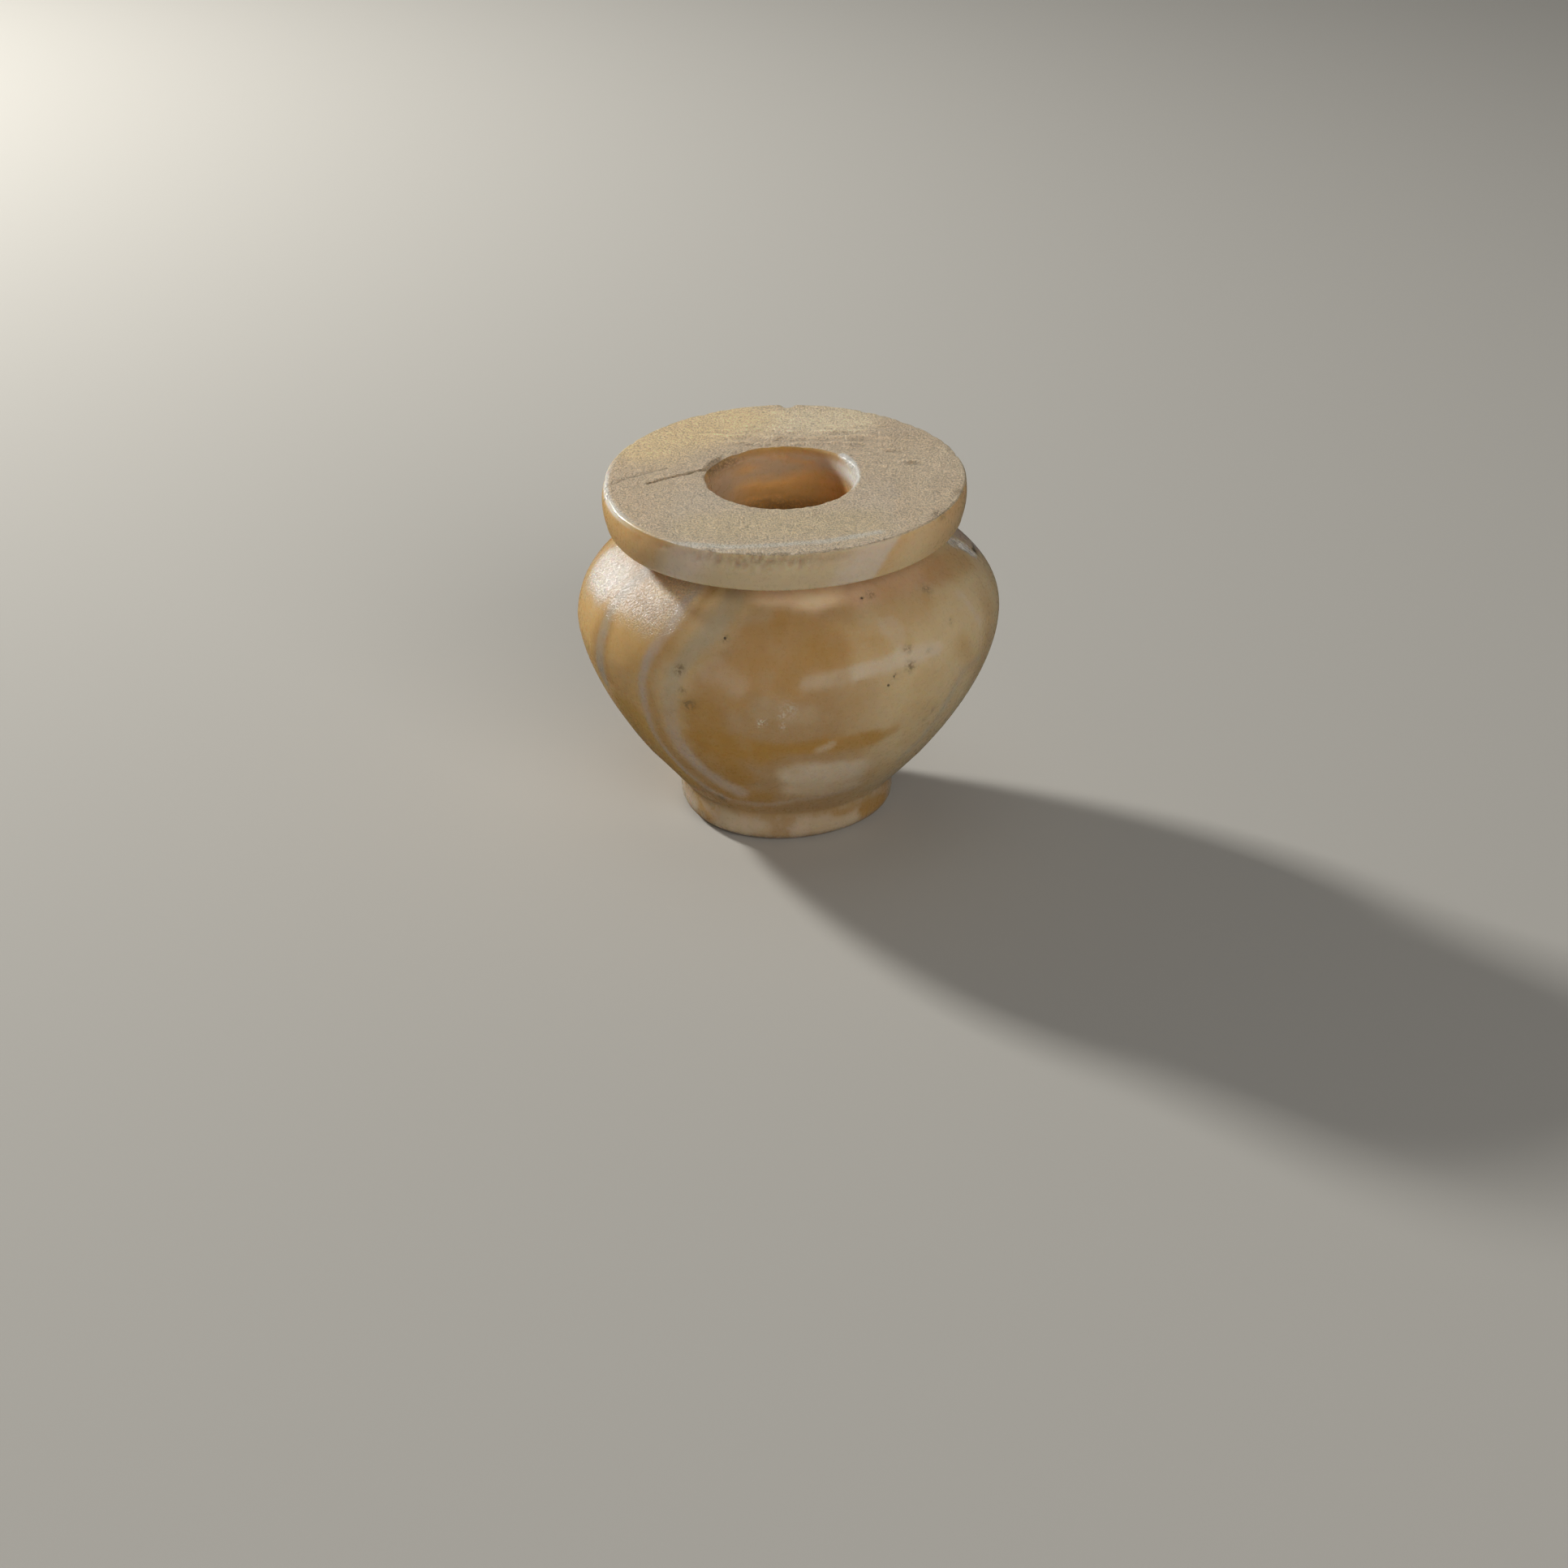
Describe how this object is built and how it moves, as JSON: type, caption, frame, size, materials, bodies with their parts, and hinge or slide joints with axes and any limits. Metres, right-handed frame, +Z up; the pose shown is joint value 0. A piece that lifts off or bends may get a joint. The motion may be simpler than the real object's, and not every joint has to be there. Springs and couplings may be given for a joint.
{
  "type": "cosmetic jar",
  "caption": "Small squat stone jar with a low foot, a swelling body and a wide flat disc rim over a bored hollow, for eye paint or ointment.",
  "frame": {"origin": "centre of the jar's outline on the surface that it stands on", "axes": "+Z up out of the mouth, -Y towards the front as pictured, +X to the right seen from the front, where the shoulder's chip is"},
  "size_m": [0.05, 0.0458, 0.0433],
  "materials": {
    "calcite": "soft wax-like polish on the body, the rim's top ground and grainy"
  },
  "bodies": {
    "root": {"jar": "calcite"}
  },
  "joints": []
}
